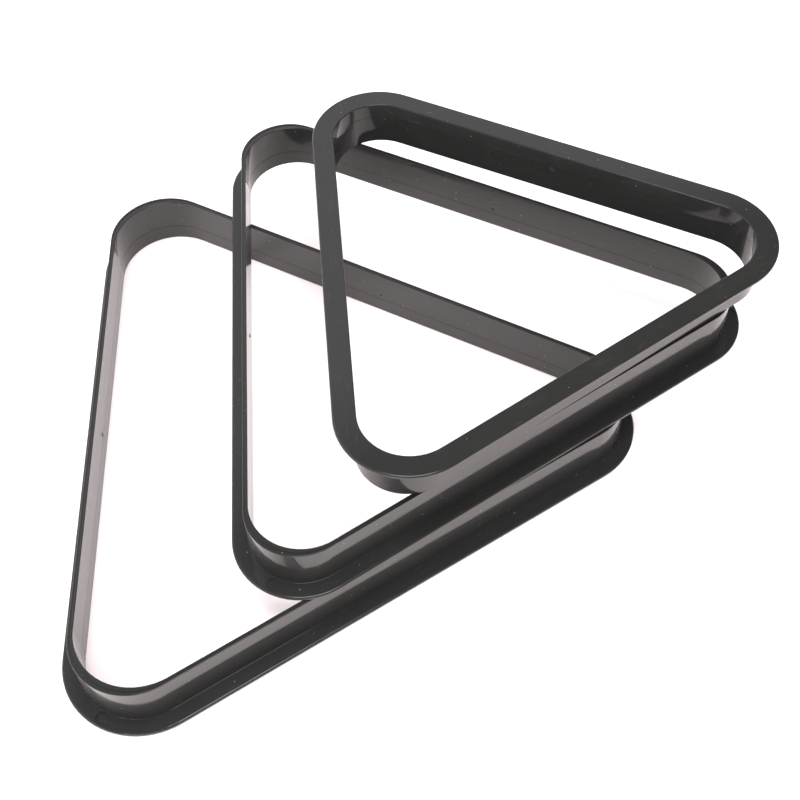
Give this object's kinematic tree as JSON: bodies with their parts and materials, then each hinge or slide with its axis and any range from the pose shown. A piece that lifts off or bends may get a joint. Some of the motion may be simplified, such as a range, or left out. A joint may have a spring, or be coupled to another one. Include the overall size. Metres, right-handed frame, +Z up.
{
  "type": "triangle rack",
  "caption": "Graded triangle racks for setting out billiard balls, stacked flat in a fan: a thin upright wall with rounded corners and a wide outward flange.",
  "frame": {"origin": "under the middle of the whole stack's bounding box, on the surface that the large rack's flange lies on", "axes": "+Z up; +X towards the large rack's right-hand corner; +Y towards the back of the stack"},
  "size_m": [0.351, 0.3406, 0.0801],
  "materials": {
    "black_gloss_plastic": "gloss"
  },
  "bodies": {
    "large_rack": {"large_rack": "black_gloss_plastic"},
    "medium_rack": {"medium_rack": "black_gloss_plastic"},
    "small_rack": {"small_rack": "black_gloss_plastic"}
  },
  "joints": [
    {"name": "medium_lift", "type": "slide", "parent": "large_rack", "child": "medium_rack", "axis": [0, 0, 1], "range_m": [0, 0.06]},
    {"name": "small_lift", "type": "slide", "parent": "medium_rack", "child": "small_rack", "axis": [0, 0, 1], "range_m": [0, 0.06]}
  ]
}
